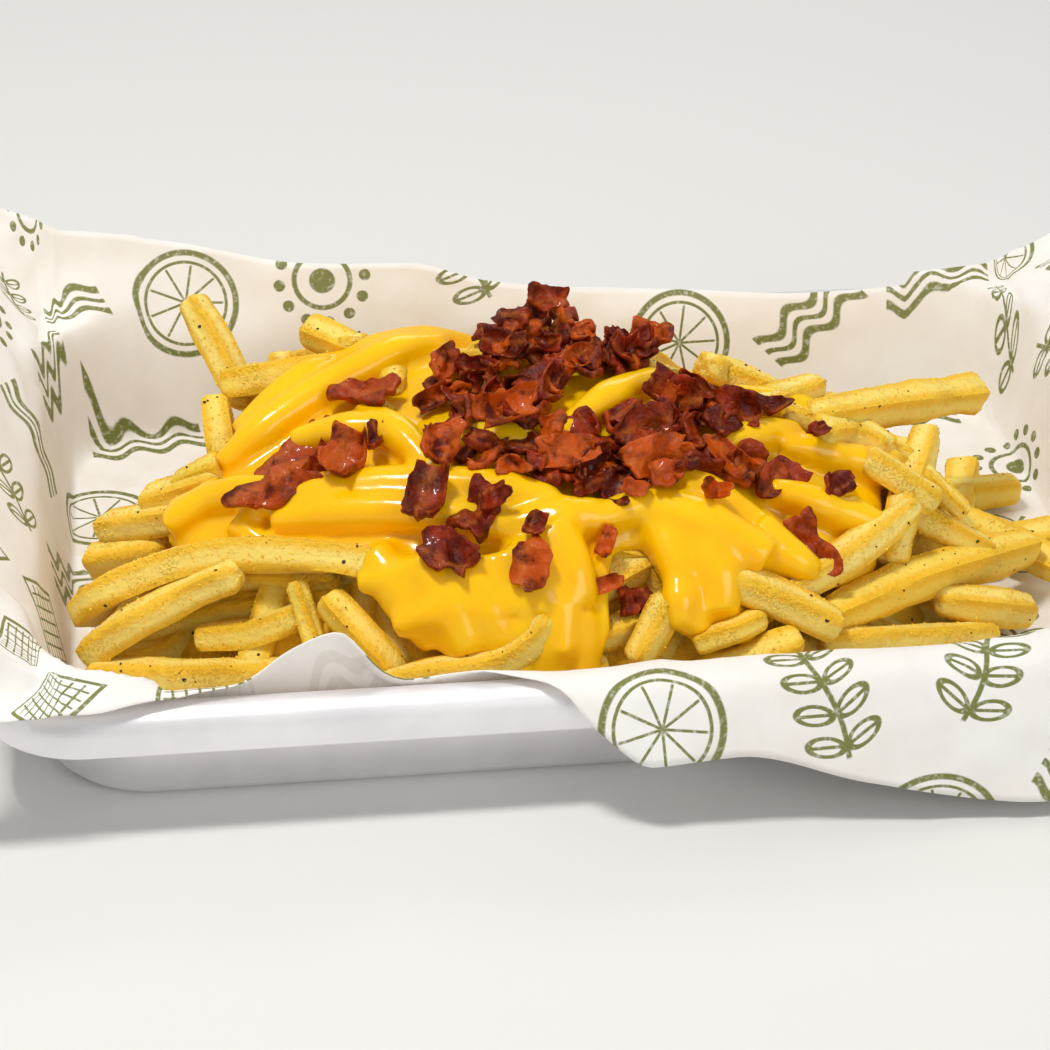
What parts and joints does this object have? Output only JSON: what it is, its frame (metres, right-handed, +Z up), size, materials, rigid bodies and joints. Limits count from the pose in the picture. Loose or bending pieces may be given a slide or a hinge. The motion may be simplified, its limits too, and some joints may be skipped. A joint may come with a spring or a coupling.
{
  "type": "cheese fries",
  "caption": "Small metal sheet pan lined with printed paper, holding a heap of thin-cut fries under poured cheese sauce and chopped bacon.",
  "frame": {"origin": "centre of the flat face under the pan, which it rests on", "axes": "+X along the pan's long side, +Y towards its back, +Z up"},
  "size_m": [0.2751, 0.1786, 0.0696],
  "materials": {
    "pan_metal": "satin drawn aluminium with faint scratches",
    "liner_paper": "greaseproof paper, off-white, printed in olive",
    "fried_potato": "fried potato skin, dry to slightly oily, with pepper and seasoning",
    "cheese": "glossy melted cheese sauce",
    "bacon": "crisp fried bacon, oily, dark red-brown"
  },
  "bodies": {
    "root": {"tray": "pan_metal", "paper_liner": "liner_paper", "fries": "fried_potato", "cheese_sauce": "cheese", "bacon_pile": "bacon", "bacon_triangle_left": "bacon", "bacon_strip_left": "bacon", "bacon_curl_left": "bacon", "bacon_flat_left": "bacon", "bacon_square_dark": "bacon", "bacon_orange_front": "bacon", "bacon_diamond": "bacon", "bacon_rectangle": "bacon", "bacon_small_front": "bacon", "bacon_right_curl": "bacon", "bacon_right_small": "bacon", "bacon_chip_upper": "bacon"}
  },
  "joints": []
}
